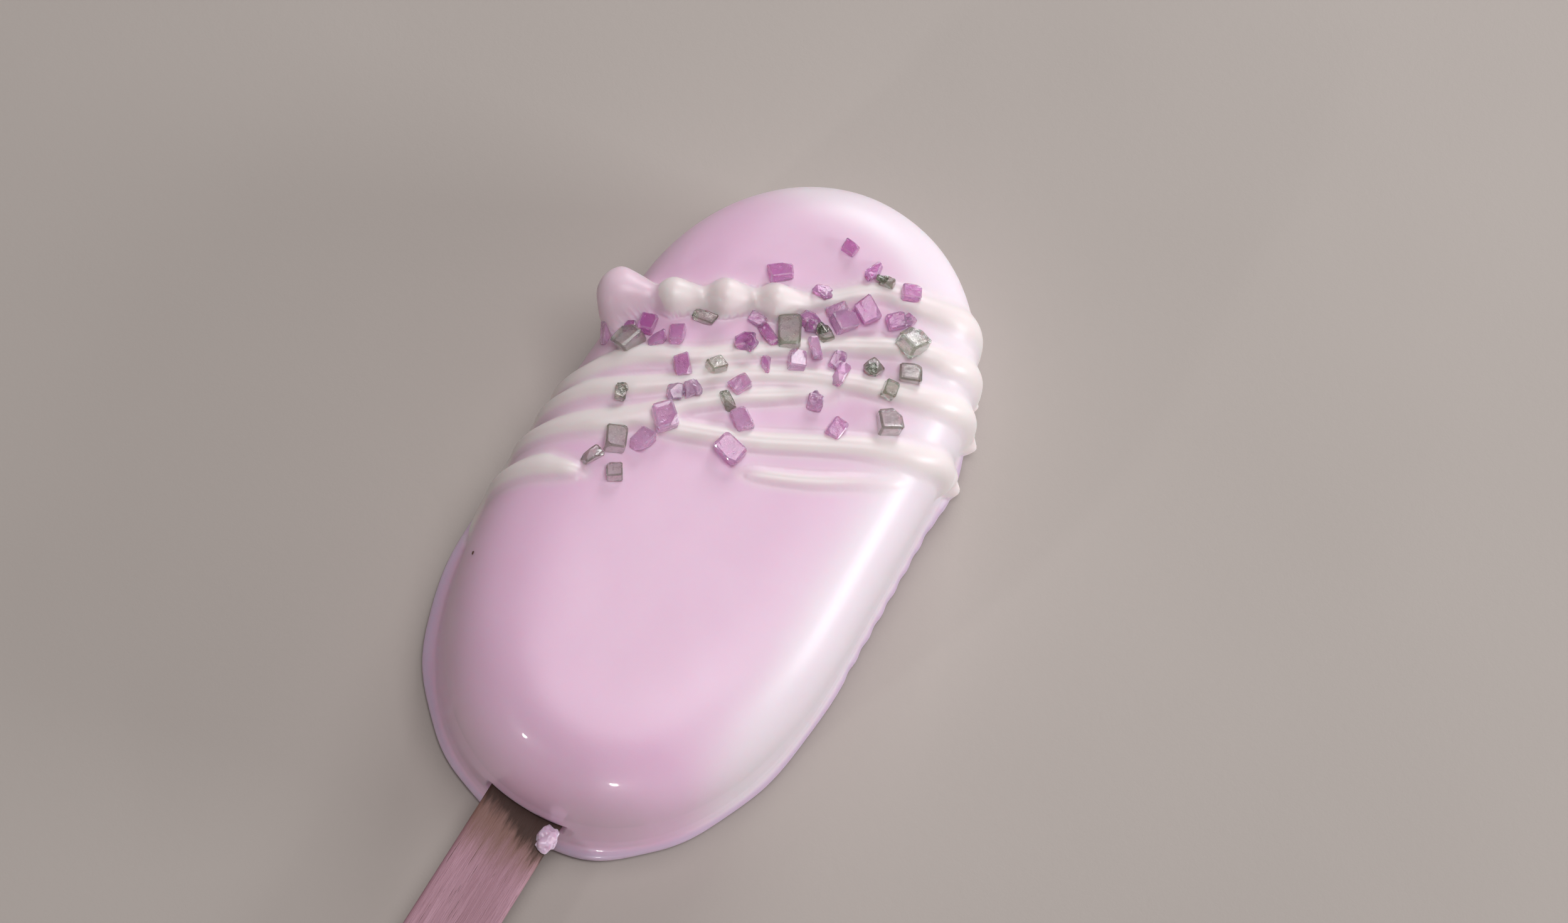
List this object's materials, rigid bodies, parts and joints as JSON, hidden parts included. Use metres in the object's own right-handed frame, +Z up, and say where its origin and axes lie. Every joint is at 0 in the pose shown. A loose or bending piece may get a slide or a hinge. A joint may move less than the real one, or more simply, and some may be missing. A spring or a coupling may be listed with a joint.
{
  "type": "cakesicle",
  "caption": "Pink coated cake lozenge on a flat wooden stick, with a thick ivory drizzle, piped beads and coarse sugar grains, lying on its flat back.",
  "frame": {"origin": "centre of the flat back that the piece lies on, halfway along the coated cake", "axes": "+Z up out of the front, +Y from the stick to the rounded top, +X across to the right when looking at the front with the stick down"},
  "size_m": [0.0516, 0.1586, 0.0272],
  "materials": {
    "coating": "satin pink confectionery coating",
    "stick_wood": "plain unvarnished birch"
  },
  "bodies": {
    "root": {"coated_cake": "coating", "stick": "stick_wood"}
  },
  "joints": []
}
